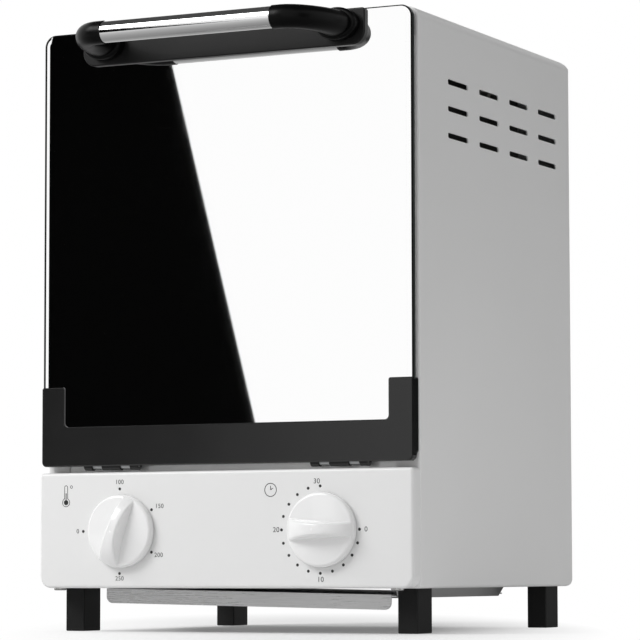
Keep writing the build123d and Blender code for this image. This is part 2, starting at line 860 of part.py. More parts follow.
def make_handle_screws():
    length = glass_back - plate_face + handle_screw_in_elbow
    screw = pan_head(handle_screw_radius, handle_screw_head_radius, handle_screw_head_height, length)
    facing_back = Rot(90, 0, 0) * screw
    return [Pos(x, glass_back, handle_z) * facing_back for x in (-handle_x, handle_x)]


# ---------------------------------------------------------------- hinges
def make_hinge_bracket(x):
    bracket = block(
        x - knuckle_reach, x + knuckle_reach, plate_back, plate_back + hinge_plate_thickness,
        hinge_z - lug_radius - hinge_plate_drop, hinge_z + lug_radius,
    )
    for side in (-1, 1):
        x0 = x + side * lug_pitch - lug_width / 2
        bracket += rod_x(x0, x0 + lug_width, hinge_y, hinge_z, lug_radius)
        web_back = plate_back + hinge_plate_thickness / 2
        bracket += block(x0, x0 + lug_width, hinge_y, web_back, hinge_z - lug_radius, hinge_z + lug_radius)
    reach = knuckle_reach + past
    bracket -= rod_x(x - reach, x + reach, hinge_y, hinge_z, hinge_pin_radius + pin_seat_play)
    for screw_x, z in hinge_screw_places(x):
        bracket -= rod_y(screw_x, plate_back - past, plate_back + 3, z, screw_radius + screw_play)
    return bracket


def hinge_screw_places(x):
    z = hinge_z - lug_radius - hinge_screw_drop
    return [(x - knuckle_reach / 2, z), (x + knuckle_reach / 2, z)]


def make_hinge_screws():
    length = plate + hinge_plate_thickness + thread_reach
    screw = pan_head(screw_radius, screw_head_radius, screw_head_height, length)
    facing_front = Rot(-90, 0, 0) * screw
    places = [place for x in hinge_xs.values() for place in hinge_screw_places(x)]
    return [Pos(x, plate_front, z) * facing_front for x, z in places]


def make_hinge_pin(x):
    reach = knuckle_reach - lug_gap
    return rod_x(x - reach, x + reach, hinge_y, hinge_z, hinge_pin_radius)


# ---------------------------------------------------------------- chamber
def make_front_frame():
    low = panel_top - frame_below_panel_top
    edge = sheet + front_bend_radius
    face = rounded_frame(half_width - edge, low, case_top - edge, 0, bend_radius - edge)
    opening = Pos(0, (chamber_floor + chamber_roof) / 2) * RectangleRounded(
        chamber_width, chamber_height, chamber_corner
    )
    frame = slab_y(face - opening, plate_front, plate_back)
    for x in hinge_xs.values():
        for side in (-1, 1):
            x0, x1 = lug_slot(x, side)
            reach = lug_radius + lug_gap
            frame -= block(x0, x1, plate_front - past, plate_back + past, hinge_z - reach, hinge_z + reach)
        for screw_x, z in hinge_screw_places(x):
            frame -= rod_y(screw_x, plate_front - past, plate_back + past, z, screw_radius + screw_play)
    return frame


def rod_places():
    front = chamber_front + rod_from_front
    rear = chamber_back - rod_from_back
    lower = chamber_floor + rod_from_floor
    upper = chamber_roof - rod_from_roof
    return {
        "upper_front": (front, upper),
        "upper_rear": (rear, upper),
        "lower_front": (front, lower),
        "lower_rear": (rear, lower),
    }


def make_oven_liner():
    middle = (chamber_floor + chamber_roof) / 2
    inner = Pos(0, middle) * RectangleRounded(chamber_width, chamber_height, chamber_corner)
    outer = Pos(0, middle) * RectangleRounded(
        chamber_width + 2 * liner_sheet, chamber_height + 2 * liner_sheet, chamber_corner + liner_sheet
    )
    reach = 2 * (liner_sheet + liner_flange)
    flange = Pos(0, middle) * RectangleRounded(
        chamber_width + reach, chamber_height + reach, chamber_corner + liner_sheet
    )
    shell = slab_y(outer, chamber_front, chamber_back + liner_sheet)
    shell += slab_y(flange, chamber_front, chamber_front + liner_sheet)
    shell -= slab_y(inner, chamber_front - past, chamber_back)
    for y, z in rod_places().values():
        shell -= rod_x(-liner_half - past, liner_half + past, y, z, bush_radius + bush_play)
    hole = capillary_radius + capillary_hole_play
    return shell - rod_x(-liner_half - past, -chamber_half + past, bulb_turn_y, bulb_z, hole)


def make_heater(y, z):
    shoulder = rod_end - terminal_length
    return rod_x(-shoulder, shoulder, y, z, rod_radius) + rod_x(-rod_end, rod_end, y, z, terminal_radius)


def make_bushes(side):
    bushes = []
    for y, z in rod_places().values():
        head = rod_x(liner_half, liner_half + bush_head_length, y, z, bush_head_radius)
        neck = rod_x(chamber_half - bush_inside, liner_half, y, z, bush_radius)
        bore = rod_x(0, 2 * liner_half, y, z, rod_radius + bush_play)
        bush = head + neck - bore
        bushes.append(bush if side > 0 else mirror(bush, about=Plane.YZ))
    return bushes


# ---------------------------------------------------------------- rack
def ledge_height(level):
    return chamber_floor + rail_first_level + level * rail_level_pitch


def make_rack_rail():
    y0 = chamber_front + rail_from_front
    y1 = chamber_back - rail_from_back
    low = ledge_height(0) - rail_margin
    high = ledge_height(rail_levels - 1) + rail_margin
    rail = block(chamber_half - sheet, chamber_half, y0, y1, low, high)
    for level in range(rail_levels):
        top = ledge_height(level)
        rail += block(chamber_half - sheet - rail_ledge, chamber_half, y0, y1, top - sheet, top)
    return rail


rack_z = ledge_height(rack_level) + slip + rack_loop_radius
rack_front = chamber_front + rack_from_front
rack_back = chamber_back - rack_from_back
rack_half = chamber_half - sheet - rack_side_gap - rack_loop_radius
wire_z = rack_z + rack_loop_radius + rack_wire_radius - rack_wire_sink
pan_width = chamber_width - 2 * pan_side_gap


def make_wire_rack():
    y0 = rack_front + rack_loop_radius
    y1 = rack_back - rack_loop_radius
    centre = Pos(0, (y0 + y1) / 2, rack_z)
    path = (centre * RectangleRounded(2 * rack_half, y1 - y0, rack_corner)).wire()
    start = Plane(origin=path @ 0, z_dir=path % 0)
    rack = sweep(start * Circle(rack_loop_radius), path=path)
    spread = 2 * (rack_half - rack_corner)
    for index in range(rack_wires):
        x = -spread / 2 + index * spread / (rack_wires - 1)
        rack += rod_y(x, rack_front, rack_back, wire_z, rack_wire_radius)
    return rack


def make_instrument_tray():
    low = wire_z + rack_wire_radius + pan_seat
    middle = (rack_front + rack_back) / 2
    centre = Pos(0, middle)
    outer = slab_z(centre * RectangleRounded(pan_width, pan_length, pan_corner), low, low + pan_height)
    rim_outline = RectangleRounded(pan_width + 2 * pan_rim, pan_length + 2 * pan_rim, pan_corner + pan_rim)
    rim = slab_z(centre * rim_outline, low + pan_height - pan_wall, low + pan_height)
    hollow = RectangleRounded(pan_width - 2 * pan_wall, pan_length - 2 * pan_wall, pan_corner - pan_wall)
    pan = outer + rim - slab_z(centre * hollow, low + pan_wall, low + pan_height + past)
    for index in range(pan_slots):
        y = middle + (index - (pan_slots - 1) / 2) * pan_slot_pitch
        for side in (-1, 1):
            slot = Pos(side * pan_width / 4, y) * SlotOverall(pan_slot_length, pan_slot_width)
            pan -= slab_z(slot, low - past, low + pan_wall + past)
    return pan


# ---------------------------------------------------------------- tray under the case
channel_top = case_bottom + sheet
channel_floor = channel_top - channel_height
tray_half = half_width - tray_side_inset
tray_drop = tray_half * math.sin(math.radians(tray_tilt))
tray_z = channel_floor + channel_sheet + slip + tray_drop
tray_lip_front = tray_front_inset


def make_crumb_tray():
    y0 = tray_lip_front
    sheet_plate = block(-tray_half, tray_half, y0, y0 + tray_depth, 0, tray_sheet)
    lip = rounded_frame(tray_half, tray_sheet - tray_lip_height, tray_sheet, tray_lip_corner, 0)
    tray = sheet_plate + slab_y(lip, y0, y0 + tray_sheet)
    return Pos(0, 0, tray_z) * (Rot(0, tray_tilt, 0) * tray)


def make_tray_rail():
    """The right-hand channel: a web down from the case's underside and a ledge under the tray."""
    web_x = tray_half + tray_side_play
    y0 = tray_lip_front + channel_front_inset
    y1 = tray_lip_front + tray_depth
    web_side = Polygon(
        (y0, channel_floor), (y1 - channel_rear_slant, channel_floor),
        (y1, channel_top), (y0, channel_top), align=None,
    )
    web = slab_x(web_side, web_x, web_x + channel_sheet)
    ledge = block(
        web_x - channel_ledge, web_x + channel_sheet, y0, y1 - channel_rear_slant,
        channel_floor, channel_floor + channel_sheet,
    )
    return web + ledge


# ---------------------------------------------------------------- mains entry, bulb and leads
gland_x = half_width - gland_from_right
gland_z = case_bottom + gland_above_bottom
bulb_x = -chamber_half + bulb_from_side
bulb_z = chamber_roof - bulb_from_roof
bulb_y = chamber_front + bulb_from_front
floor_top = case_bottom + sheet + plate
block_y = case_back - block_from_back
shield_front = plate_back + hinge_plate_thickness + slip
side_gap_x = (liner_half + inner_half_width) / 2
lead_x = inner_half_width - lead_wall_gap
bulb_turn_y = bulb_y + bulb_length + 3 * capillary_bend
rod_end = liner_half + bush_head_length + rod_reach
feed_y = chamber_back - rod_from_back


def make_cord_gland():
    back = case_back - sheet
    body = rod_y(gland_x, back, back + gland_head_length, gland_z, gland_head_radius)
    body += rod_y(gland_x, back - plate - gland_neck_length, back, gland_z, gland_neck_radius)
    body = chamfer(body.faces().sort_by(Axis.Y)[-1].edges(), 1)
    inner = back - plate - gland_neck_length - 1
    return body - rod_y(gland_x, inner, back + gland_head_length + past, gland_z, gland_bore_radius)


def make_terminal_block():
    body = block(
        -block_width / 2, block_width / 2, block_y - block_length / 2, block_y + block_length / 2,
        floor_top, floor_top + block_height,
    )
    groove = block(
        -block_width / 2 - past, block_width / 2 + past, block_y - 2, block_y + 2,
        floor_top + block_height - 4, floor_top + block_height + past,
    )
    return body - groove


def make_thermostat_bulb():
    """The sensing bulb and its capillary, down the left side gap to the thermostat's back."""
    end = bulb_y + bulb_length
    bulb = rod_y(bulb_x, bulb_y, end, bulb_z, bulb_radius)
    back = panel_sheet_back + thermostat_depth
    path = [
        (bulb_x, end, bulb_z),
        (bulb_x, bulb_turn_y, bulb_z),
        (-side_gap_x, bulb_turn_y, bulb_z),
        (-side_gap_x, bulb_turn_y, dial_z),
        (dial_xs["temperature"], bulb_turn_y, dial_z),
        (dial_xs["temperature"], back, dial_z),
    ]
    return bulb + lead(path, capillary_radius, capillary_bend)


def make_heater_leads():
    """The rods in one row: jumpers outside the chamber's walls, and a feed to each control."""
    spots = rod_places()
    start = rod_end + seam
    side = lead_x
    runs = []
    for level in ("upper", "lower"):
        (y0, z), (y1, _) = spots[level + "_front"], spots[level + "_rear"]
        runs.append([(start, y0, z), (side, y0, z), (side, y1, z), (start, y1, z)])
    y, low = spots["lower_front"]
    high = spots["upper_front"][1]
    runs.append([(-start, y, high), (-side, y, high), (-side, y, low), (-start, y, low)])

    low = spots["lower_rear"][1]
    timer_z = dial_z - lead_drop
    timer_x = dial_xs["timer"] + timer_lead_offset
    timer_back = panel_sheet_back + timer_depth + seam
    runs.append([
        (-start, feed_y, low), (-side, feed_y, low), (-side, feed_y, timer_z),
        (timer_x, feed_y, timer_z), (timer_x, timer_back, timer_z),
    ])
    high = spots["upper_rear"][1]
    thermostat_z = dial_z - thermostat_lead_offset
    thermostat_x = dial_xs["temperature"] + thermostat_lead_offset
    thermostat_back = panel_sheet_back + thermostat_depth + seam
    aside = feed_y + lead_spacing
    runs.append([
        (-start, feed_y, high), (-side, feed_y, high), (-side, aside, high), (-side, aside, thermostat_z),
        (thermostat_x, aside, thermostat_z), (thermostat_x, thermostat_back, thermostat_z),
    ])
    return [lead(run, lead_radius, lead_turn) for run in runs]


def make_control_leads():
    """From the terminal block to the back of each control."""
    block_z = floor_top + block_height / 2
    start = block_y - block_length / 2 - seam
    thermostat_x = dial_xs["temperature"] - thermostat_lead_offset
    timer_x = dial_xs["timer"] - timer_lead_offset
    thermostat_back = panel_sheet_back + thermostat_depth
    timer_back = panel_sheet_back + timer_depth
    ends = (
        (-block_lead_offset, thermostat_x, thermostat_back, dial_z - thermostat_lead_offset),
        (block_lead_offset, timer_x, timer_back, dial_z - lead_drop),
    )
    runs = []
    for x, control_x, control_back, control_z in ends:
        runs.append([
            (x, start, block_z), (x, control_lead_run, block_z), (control_x, control_lead_run, block_z),
            (control_x, control_lead_run, control_z), (control_x, control_back + seam, control_z),
        ])
    return [lead(run, lead_radius, lead_bend) for run in runs]


def make_bulb_clips():
    clips = []
    for share in (1 / 5, 4 / 5):
        y = bulb_y + bulb_length * share
        y0 = y - clip_width / 2
        y1 = y + clip_width / 2
        radius = bulb_radius + clip_wall + seam
        ring = rod_y(bulb_x, y0, y1, bulb_z, radius)
        arm = block(-chamber_half, bulb_x, y0, y1, bulb_z - clip_wall / 2, bulb_z + clip_wall / 2)
        foot = block(-chamber_half, -chamber_half + clip_wall, y0, y1, bulb_z - radius, bulb_z + radius)
        clips.append(ring + arm + foot - rod_y(bulb_x, y0 - past, y1 + past, bulb_z, bulb_radius + seam))
    return clips


# ---------------------------------------------------------------- all the pieces
def make_nodes():
    nodes = {
        "outer_wrap": make_outer_wrap(),
        "rear_panel": make_rear_panel(),
        "rear_screws": make_rear_screws(),
        "bottom_plate": make_bottom_plate(),
        "heat_shield": make_heat_shield(),
        "control_panel": make_control_panel(),
        "panel_screws": make_panel_screws(),
        "control_screws": make_control_screws(),
        "front_frame": make_front_frame(),
        "oven_liner": make_oven_liner(),
        "foot_screws": make_foot_screws(),
    }
    names = ("front_left", "front_right", "rear_left", "rear_right")
    for name, (x, y) in zip(names, foot_centres()):
        nodes["foot_" + name] = make_foot(x, y)
    for name, (y, z) in rod_places().items():
        nodes["heater_" + name] = make_heater(y, z)
    nodes["ceramic_bushes_left"] = make_bushes(-1)
    nodes["ceramic_bushes_right"] = make_bushes(1)

    nodes["thermostat_body"] = make_control_body(
        dial_xs["temperature"], thermostat_width, thermostat_depth, thermostat_height
    )
    nodes["timer_body"] = make_control_body(dial_xs["timer"], timer_width, timer_depth, timer_height)
    nodes["timer_bell"] = make_timer_bell()
    nodes["temperature_knob"] = make_knob(dial_xs["temperature"], temperature_rest)
    nodes["thermostat_shaft"] = make_shaft(dial_xs["temperature"], temperature_rest)
    nodes["timer_knob"] = make_knob(dial_xs["timer"], timer_rest)
    nodes["timer_shaft"] = make_shaft(dial_xs["timer"], timer_rest)
    nodes["thermostat_bulb"] = make_thermostat_bulb()
    nodes["bulb_clips"] = make_bulb_clips()

    nodes["door_glass"] = make_door_glass()
    nodes["door_bottom_frame"] = make_door_bottom_frame()
    nodes["door_clamp_plate"] = make_door_clamp_plate()
    nodes["clamp_screws"] = make_clamp_screws()
    for name, (x0, x1) in zip(("left", "right"), strip_ranges()):
        nodes["side_strip_" + name] = make_side_strip(x0, x1)
        nodes["door_bumper_" + name] = make_bumper(x0, x1)
    nodes["handle_plate"] = make_handle_plate()
    nodes["handle_tube"] = make_handle_tube()
    nodes["handle_elbow_right"], nodes["handle_elbow_left"] = both_sides(make_elbow())
    nodes["handle_screws"] = make_handle_screws()
    for name, x in hinge_xs.items():
        nodes["hinge_bracket_" + name] = make_hinge_bracket(x)
        nodes["hinge_pin_" + name] = make_hinge_pin(x)
    nodes["hinge_screws"] = make_hinge_screws()

    nodes["rack_rail_right"], nodes["rack_rail_left"] = both_sides(make_rack_rail())
    nodes["wire_rack"] = make_wire_rack()
    nodes["instrument_tray"] = make_instrument_tray()
    nodes["crumb_tray"] = make_crumb_tray()
    nodes["tray_rail_right"], nodes["tray_rail_left"] = both_sides(make_tray_rail())
    nodes["cord_gland"] = make_cord_gland()
    nodes["terminal_block"] = make_terminal_block()
    nodes["heater_leads"] = make_heater_leads()
    nodes["control_leads"] = make_control_leads()
    return nodes


os.makedirs("parts", exist_ok=True)
to_origin = Pos(0, -origin_y, 0)
for node_name, piece in make_nodes().items():
    solids = piece if isinstance(piece, list) else piece.solids()
    moved = [to_origin * solid for solid in solids]
    whole = Compound(children=moved) if len(moved) > 1 else moved[0]
    whole.label = node_name
    export_step(whole, f"parts/{node_name}.step")
print("origin_y", round(origin_y, 4), "hinge", round(hinge_y - origin_y, 4), round(hinge_z, 4))
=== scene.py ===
# %% [markdown]
# # A bench oven for dry heat sterilizing, dressed for its portrait
# The metal, glass and plastic pieces come from the CAD model as a fixed frame. This lesson gives
# each one the surface that the real piece has, prints the dials, and builds the small studio
# that a glossy product needs: a mirror door is only as good as what it reflects.

import math

import bmesh
import bpy
from mathutils import Matrix, Vector


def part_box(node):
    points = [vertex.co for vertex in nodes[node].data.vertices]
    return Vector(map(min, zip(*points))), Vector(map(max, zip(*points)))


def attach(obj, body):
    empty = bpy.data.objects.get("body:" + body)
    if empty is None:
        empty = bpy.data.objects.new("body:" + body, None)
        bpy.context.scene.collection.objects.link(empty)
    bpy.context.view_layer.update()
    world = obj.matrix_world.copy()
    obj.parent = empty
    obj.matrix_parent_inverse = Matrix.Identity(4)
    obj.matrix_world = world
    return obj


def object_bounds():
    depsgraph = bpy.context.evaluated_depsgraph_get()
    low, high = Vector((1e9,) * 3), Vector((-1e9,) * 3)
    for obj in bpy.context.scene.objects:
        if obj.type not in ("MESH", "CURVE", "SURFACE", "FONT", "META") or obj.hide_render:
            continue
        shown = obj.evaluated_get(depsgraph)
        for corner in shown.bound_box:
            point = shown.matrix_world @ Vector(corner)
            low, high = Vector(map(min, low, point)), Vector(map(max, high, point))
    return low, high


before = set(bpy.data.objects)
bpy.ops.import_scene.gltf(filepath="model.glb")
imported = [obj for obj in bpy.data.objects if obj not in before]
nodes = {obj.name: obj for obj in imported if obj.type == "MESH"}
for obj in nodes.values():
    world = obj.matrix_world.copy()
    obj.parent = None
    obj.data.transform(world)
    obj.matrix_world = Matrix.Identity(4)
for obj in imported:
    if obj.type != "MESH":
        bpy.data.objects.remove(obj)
cad_low, cad_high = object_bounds()
size = cad_high - cad_low
print("nodes", len(nodes), "size", [round(x, 4) for x in size])

MM = 0.001

# %% [markdown]
# ## The camera
# A catalogue picture of a box is taken from far away with a long lens, so that its edges stay
# nearly parallel. The camera stands low, right of the front, and looks slightly up. Its place was
# found from the box's own corners, and then it is just a point and three angles.

# %% Place the camera
CAMERA_POINT = Vector((0.8443, -1.65842, 0.03677))
CAMERA_AZIMUTH = 26.558
CAMERA_TILT = 4.521
CAMERA_ROLL = 0.112
CAMERA_LENS = 176.03

camera_data = bpy.data.cameras.new("camera")
camera_data.lens = CAMERA_LENS
camera_data.sensor_width = 36.0
camera_data.clip_end = 50.0
camera = bpy.data.objects.new("camera", camera_data)
bpy.context.scene.collection.objects.link(camera)
turn = Matrix.Rotation(math.radians(CAMERA_AZIMUTH), 4, "Z")
tilt = Matrix.Rotation(math.radians(90 + CAMERA_TILT), 4, "X")
roll = Matrix.Rotation(math.radians(-CAMERA_ROLL), 4, "Z")
camera.matrix_world = Matrix.Translation(CAMERA_POINT) @ turn @ tilt @ roll
bpy.context.scene.camera = camera
print("camera at", [round(x, 3) for x in camera.location], "lens", CAMERA_LENS)

# %% [markdown]
# ## Shader maths written as sums
# A material is a small calculation on every point of a surface. Nodes say it well for a
# computer and badly for a reader, so one class wraps a socket and lets plain operators add the
# Math nodes. A second one makes any other node from its type, its settings and its inputs.


# %% Helpers for shader nodes
class Wire:
    """An output socket that takes part in arithmetic."""

    def __init__(self, shade, socket):
        self.shade = shade
        self.socket = socket

    def _math(self, operation, first, second=0.0):
        settings = {"operation": operation}
        return self.shade.node("ShaderNodeMath", settings, {0: first, 1: second})

    def __add__(self, other):
        return self._math("ADD", self, other)

    __radd__ = __add__

    def __mul__(self, other):
        return self._math("MULTIPLY", self, other)

    __rmul__ = __mul__

    def __sub__(self, other):
        return self._math("SUBTRACT", self, other)

    def __rsub__(self, other):
        return self._math("SUBTRACT", other, self)

    def __truediv__(self, other):
        return self._math("DIVIDE", self, other)

    def __pow__(self, other):
        return self._math("POWER", self, other)

    def __gt__(self, other):
        return self._math("GREATER_THAN", self, other)

    def __lt__(self, other):
        return self._math("LESS_THAN", self, other)

    def most(self, other):
        return self._math("MAXIMUM", self, other)

    def least(self, other):
        return self._math("MINIMUM", self, other)


class Shade:
    """A node tree under construction, with its shader's inputs set by name."""

    def __init__(self, owner):
        owner.use_nodes = True
        self.tree = owner.node_tree
        self.tree.nodes.clear()

    def node(self, kind, settings=None, inputs=None, output=0):
        """One node: settings first, then the values or wires of its sockets."""
        made = self.tree.nodes.new(kind)
        for name, value in (settings or {}).items():
            setattr(made, name, value)
        for name, value in (inputs or {}).items():
            self.put(made.inputs[name], value)
        return made if output is None else Wire(self, made.outputs[output])

    def put(self, socket, value):
        if isinstance(value, Wire):
            self.tree.links.new(value.socket, socket)
        else:
            socket.default_value = value

    def vector(self, operation, first, second=None, output=0):
        """One step of vector maths. Lengths and dot products leave it at "Value"."""
        inputs = {0: first} if second is None else {0: first, 1: second}
        return self.node("ShaderNodeVectorMath", {"operation": operation}, inputs, output)

    def place(self):
        """The point on the surface, in metres, in the frame that the piece was drawn in."""
        return self.node("ShaderNodeTexCoord", output="Object")

    def noise(self, scale, detail=2.0, stretch=None):
        """Cloudy noise from 0 to 1. Stretch multiplies the frequency along each axis."""
        point = self.place()
        if stretch:
            point = self.vector("MULTIPLY", point, stretch)
        inputs = {"Vector": point, "Scale": scale, "Detail": detail, "Roughness": 0.55}
        return self.node("ShaderNodeTexNoise", None, inputs)

    def mix(self, amount, first, second):
        """A colour between two colours. By number, since sockets of this node share their names."""
        settings = {"data_type": "RGBA"}
        return self.node("ShaderNodeMix", settings, {0: amount, 6: first, 7: second}, output=2)

    def bump(self, height, depth, normal=None):
        """A normal from a height of 0 to 1 that stands for the given depth in metres."""
        inputs = {"Height": height, "Strength": 1.0, "Distance": depth}
        if normal:
            inputs["Normal"] = normal
        return self.node("ShaderNodeBump", None, inputs)

    def skin(self, **inputs):
        """The shader itself. Underscores in the names stand for the spaces of the sockets."""
        shader = self.tree.nodes.new("ShaderNodeBsdfPrincipled")
        for name, value in inputs.items():
            self.put(shader.inputs[name.replace("_", " ")], value)
        out = self.tree.nodes.new("ShaderNodeOutputMaterial")
        self.tree.links.new(shader.outputs[0], out.inputs["Surface"])
        return shader


def new_shade(name):
    material = bpy.data.materials.new(name)
    return material, Shade(material)


def grey(level, tint=(1.0, 1.0, 1.0)):
    return (level * tint[0], level * tint[1], level * tint[2], 1.0)


def dress(material, *names):
    """Gives CAD nodes their finish."""
    for name in names:
        slots = nodes[name].data.materials
        slots.clear()
        slots.append(material)


print("helpers ready")

# %% [markdown]
# ## White powder coat
# The case is sheet steel with a baked powder coat. Powder melts into a skin that is smooth from
# afar and finely rippled up close, like the peel of an orange with ripples about a millimetre
# wide. A noise at that scale bends the highlights, and a much larger one lets the gloss and the
# white drift a little, as they do on a big sprayed panel.


# %% Paint the case and the panel
WHITE_DRIFT = 0.015


def powder_coat(name, level, ripple):
    material, s = new_shade(name)
    drift = s.noise(7.0, 3.0)
    white = s.mix(drift, grey(level - WHITE_DRIFT, (1.0, 1.0, 0.995)), grey(level + WHITE_DRIFT))
    peel = s.noise(620.0, 2.0)
    s.skin(
        Base_Color=white,
        Roughness=0.34 + 0.08 * drift,
        Normal=s.bump(peel, ripple),
        Specular_IOR_Level=0.5,
    )
    return material


case_paint = powder_coat("case_powder_coat", 0.80, 0.000012)
panel_paint = powder_coat("panel_powder_coat", 0.80, 0.000006)
dress(case_paint, "outer_wrap", "rear_panel")
dress(panel_paint, "control_panel")
print("painted", case_paint.name, panel_paint.name)

# %% [markdown]
# ## Mirror-coated glass
# The door is tempered glass with a thin metal coat on its face. It hides the chamber and reflects
# the room. The coat lies on the flat front only: the polished edge shows the glass itself, and the
# back is dark. The face's direction tells the three apart, so one material with a mask on the
# normal is enough, and the mask feeds colour and metal together. The coat stops a little short
# of the left side and almost at the right one, and near the sides the front is ground away by a
# hair, which draws a dark and a bright line along them. That slope is too fine to model, so it
# is a bump that rises with the distance from the outline.


# %% Coat the door glass
BARE_EDGE = 1.85 * MM
BARE_EDGE_RIGHT = 0.3 * MM
GROUND_LINE = 1.8 * MM
GROUND_DEPTH = 0.88 * MM
CORNER = 7.0 * MM
CORNER_FADE = 0.35 * CORNER
FACING_FRONT = 0.98
FACING_ASIDE = 0.04


def inside_outline(s, low, high):
    """The distance from the door's sides and corners. It is large along the top and the middle."""
    place = s.node("ShaderNodeSeparateXYZ", None, {0: s.place()}, output=None)
    x, z = Wire(s, place.outputs["X"]), Wire(s, place.outputs["Z"])
    half = (high.x - low.x) / 2
    past_x = ((x * x) ** 0.5 - (half - CORNER)).most(0.0)
    past_z = (z - (high.z - CORNER)).most(0.0)
    away_from_sides = (1 - past_x / CORNER_FADE).most(0.0)
    return CORNER * (1 + away_from_sides) - (past_x * past_x + past_z * past_z) ** 0.5


def mirror_glass():
    material, s = new_shade("mirror_coated_glass")
    normal = s.node("ShaderNodeTexCoord", output="Normal")
    y = s.node("ShaderNodeSeparateXYZ", None, {0: normal}, output="Y")
    inside = inside_outline(s, *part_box("door_glass"))
    x = s.node("ShaderNodeSeparateXYZ", None, {0: s.place()}, output="X")
    bare = BARE_EDGE - (BARE_EDGE - BARE_EDGE_RIGHT) * (x > 0.0)
    front = ((y * -1.0) > FACING_FRONT) * (inside > bare)
    wave = s.noise(5.0, 1.0)
    smudge = s.noise(34.0, 4.0)
    polished = (y * y) < FACING_ASIDE
    edge = s.mix(polished, grey(0.012), grey(0.05, (0.88, 1.0, 0.95)))
    color = s.mix(front, edge, grey(0.98))
    rise = ((inside - BARE_EDGE) / GROUND_LINE).most(0.0).least(1.0)
    s.skin(
        Base_Color=color,
        Metallic=front,
        Roughness=0.01 + 0.05 * (1 - front) + 0.01 * smudge,
        Normal=s.bump(rise, GROUND_DEPTH, s.bump(wave, 0.0000012)),
        Specular_IOR_Level=0.05,
    )
    return material


glass = mirror_glass()
dress(glass, "door_glass")
print("glass", glass.name)

# %% [markdown]
# ## Black mouldings
# Four blacks lie close together: the satin frame with its fine spark-eroded grain, the deep
# black handle ends, the greyer plate behind them, and the dull feet. Black has hardly any colour
# of its own, so the grain and the gloss have to tell them apart.


# %% Make the blacks
def black_plastic(name, level, roughness, grain_scale, grain_depth, specular=0.5):
    material, s = new_shade(name)
    grain = s.noise(grain_scale, 2.0)
    wear = s.noise(28.0, 4.0)
    s.skin(
        Base_Color=s.mix(wear, grey(level * 0.85), grey(level * 1.15)),
        Roughness=roughness + 0.07 * (wear - 0.5),
        Normal=s.bump(grain, grain_depth),
        Specular_IOR_Level=specular,
    )
    return material


frame_black = black_plastic("satin_black_moulding", 0.009, 0.22, 2600.0, 0.000002)
handle_black = black_plastic("handle_black_moulding", 0.002, 0.32, 1800.0, 0.000002, specular=0.1)
plate_black = black_plastic("handle_plate_black", 0.008, 0.30, 1800.0, 0.000003, specular=0.22)
foot_black = black_plastic("dull_black_feet", 0.008, 0.5, 1500.0, 0.00001, specular=0.25)
dress(
    frame_black,
    "door_bottom_frame",
    "door_clamp_plate",
    "door_bumper_left",
    "door_bumper_right",
)
dress(handle_black, "handle_elbow_left", "handle_elbow_right")
dress(plate_black, "handle_plate")
dress(
    foot_black,
    "foot_front_left",
    "foot_front_right",
    "foot_rear_left",
    "foot_rear_right",
    "cord_gland",
)
print("blacks done")

# %% [markdown]
# ## Metals
# Rolled or brushed sheet carries fine parallel lines. They come from noise that is squeezed
# across the lines and drawn out along them, and they shift the roughness and tip the normal, so
# that a highlight spreads sideways. Zinc-coated sheet is pale and scatters light too, so it is
# only half a metal. Chrome has no lines, only faint wiping marks. Zinc-plated screws are cloudy.


# %% Make the metals
def brushed(name, level, roughness, stretch, depth=0.000004, metal=1.0, contrast=0.06):
    material, s = new_shade(name)
    lines = s.noise(60.0, 3.0, stretch)
    cloud = s.noise(9.0, 2.0)
    s.skin(
        Base_Color=s.mix(lines, grey(level * (1 - contrast)), grey(level * (1 + contrast))),
        Metallic=metal,
        Roughness=roughness + 0.10 * (lines - 0.5) + 0.05 * (cloud - 0.5),
        Normal=s.bump(lines, depth),
    )
    return material


def plated(name, level, roughness, tint):
    material, s = new_shade(name)
    cloud = s.noise(45.0, 4.0)
    grain = s.noise(1400.0, 2.0)
    s.skin(
        Base_Color=s.mix(cloud, grey(level * 0.88, tint), grey(level * 1.1, tint)),
        Metallic=1.0,
        Roughness=roughness + 0.16 * (cloud - 0.5),
        Normal=s.bump(grain, 0.000003),
    )
    return material


along_x = (1.0, 26.0, 26.0)
along_y = (26.0, 1.0, 26.0)
along_z = (26.0, 26.0, 1.0)
strip_steel = brushed("strip_zinc_coated", 0.66, 0.36, along_z, metal=0.6)
frame_steel = brushed("front_frame_zinc_coated", 0.84, 0.34, along_x, metal=0.5)
crumb_steel = brushed("crumb_tray_zinc_coated", 0.84, 0.28, along_x, metal=0.5, contrast=0.18)
tray_steel = brushed("tray_brushed_steel", 0.70, 0.24, along_x)
rail_steel = brushed("rail_rolled_steel", 0.58, 0.34, along_y)
chrome = brushed("handle_chrome", 0.86, 0.05, along_x, depth=0.0000006)
wire_chrome = plated("rack_wire_chrome", 0.68, 0.16, (1.0, 1.0, 1.0))
zinc = plated("zinc_plated_sheet", 0.56, 0.34, (0.97, 0.99, 1.0))
# Painted shade: the heat shield is made near black for the shade seen through the vent slots.
shield_painted_shade = plated("shield_sheet_painted_dark", 0.14, 0.55, (1.0, 0.97, 0.93))
screw_zinc = plated("screw_zinc", 0.62, 0.26, (1.0, 0.995, 0.98))
copper = plated("capillary_copper", 0.72, 0.28, (1.0, 0.62, 0.44))
sheath = plated("heater_sheath", 0.30, 0.42, (1.0, 0.96, 0.92))

